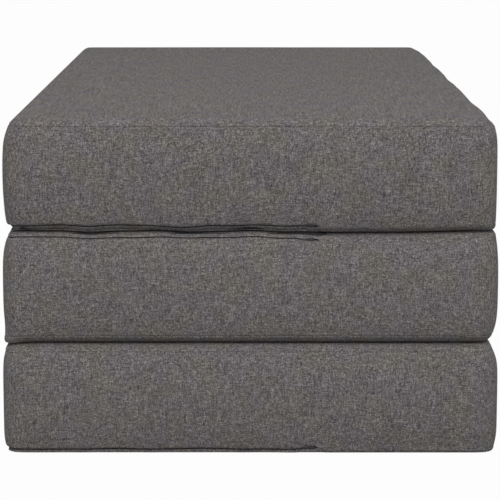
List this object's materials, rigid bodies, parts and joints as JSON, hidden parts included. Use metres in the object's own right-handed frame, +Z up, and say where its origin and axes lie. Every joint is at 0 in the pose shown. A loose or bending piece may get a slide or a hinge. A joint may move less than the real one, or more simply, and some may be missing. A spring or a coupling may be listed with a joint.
{
  "type": "folding sofa bed",
  "caption": "Folding foam sofa bed: zipped box cushions joined end to end by cloth hinges, stacked in a Z as a low seat, opening flat as a bed.",
  "frame": {"origin": "on the floor, under the middle of the folded stack", "axes": "+X along each cushion from its left hinge end to its right, +Y across the bed away from the zip pulls, +Z up"},
  "size_m": [0.6904, 1.3848, 0.4766],
  "materials": {
    "linen_cover": "matte",
    "hinge_cloth": "matte",
    "support_foam": "matte",
    "comfort_foam": "matte",
    "zip_tape": "matte",
    "zip_metal": "satin"
  },
  "bodies": {
    "lower_cushion": {"lower_under_panel": "linen_cover", "lower_sleep_panel": "linen_cover", "lower_side_band": "linen_cover", "lower_zip_flap": "linen_cover", "lower_support_foam": "support_foam", "lower_comfort_foam": "comfort_foam", "lower_band_zip_tape": "zip_tape", "lower_panel_zip_tape": "zip_tape", "lower_zip_stops": "zip_metal", "left_hinge_lower_leaf": "hinge_cloth"},
    "middle_cushion": {"middle_under_panel": "linen_cover", "middle_sleep_panel": "linen_cover", "middle_side_band": "linen_cover", "middle_zip_flap": "linen_cover", "middle_support_foam": "support_foam", "middle_comfort_foam": "comfort_foam", "middle_band_zip_tape": "zip_tape", "middle_panel_zip_tape": "zip_tape", "middle_zip_stops": "zip_metal", "left_hinge_middle_leaf": "hinge_cloth", "right_hinge_middle_leaf": "hinge_cloth"},
    "upper_cushion": {"upper_under_panel": "linen_cover", "upper_sleep_panel": "linen_cover", "upper_side_band": "linen_cover", "upper_zip_flap": "linen_cover", "upper_support_foam": "support_foam", "upper_comfort_foam": "comfort_foam", "upper_band_zip_tape": "zip_tape", "upper_panel_zip_tape": "zip_tape", "upper_zip_stops": "zip_metal", "right_hinge_upper_leaf": "hinge_cloth"},
    "lower_slider": {"lower_zip_slider": "zip_metal"},
    "lower_pull": {"lower_zip_pull": "zip_metal"},
    "middle_slider": {"middle_zip_slider": "zip_metal"},
    "middle_pull": {"middle_zip_pull": "zip_metal"},
    "upper_slider": {"upper_zip_slider": "zip_metal"},
    "upper_pull": {"upper_zip_pull": "zip_metal"}
  },
  "joints": [
    {"name": "left_fold", "type": "hinge", "parent": "lower_cushion", "child": "middle_cushion", "pos_m": [-0.34535, 0, 0.15715], "axis": [0, -1, 0], "range_deg": [0, 180]},
    {"name": "right_fold", "type": "hinge", "parent": "middle_cushion", "child": "upper_cushion", "pos_m": [0.34535, 0, 0.31445], "axis": [0, 1, 0], "range_deg": [0, 180]},
    {"name": "lower_zip_run", "type": "slide", "parent": "lower_cushion", "child": "lower_slider", "axis": [1, 0, 0], "range_m": [-0.378, 0]},
    {"name": "lower_pull_swing", "type": "hinge", "parent": "lower_slider", "child": "lower_pull", "pos_m": [0.084, -0.68185, 0.0104], "axis": [0, 0, 1], "range_deg": [0, 120]},
    {"name": "middle_zip_run", "type": "slide", "parent": "middle_cushion", "child": "middle_slider", "axis": [1, 0, 0], "range_m": [-0.378, 0]},
    {"name": "middle_pull_swing", "type": "hinge", "parent": "middle_slider", "child": "middle_pull", "pos_m": [0.084, -0.68185, 0.3039], "axis": [0, 0, 1], "range_deg": [0, 120]},
    {"name": "upper_zip_run", "type": "slide", "parent": "upper_cushion", "child": "upper_slider", "axis": [1, 0, 0], "range_m": [-0.378, 0]},
    {"name": "upper_pull_swing", "type": "hinge", "parent": "upper_slider", "child": "upper_pull", "pos_m": [0.084, -0.68185, 0.325], "axis": [0, 0, 1], "range_deg": [0, 120]}
  ]
}
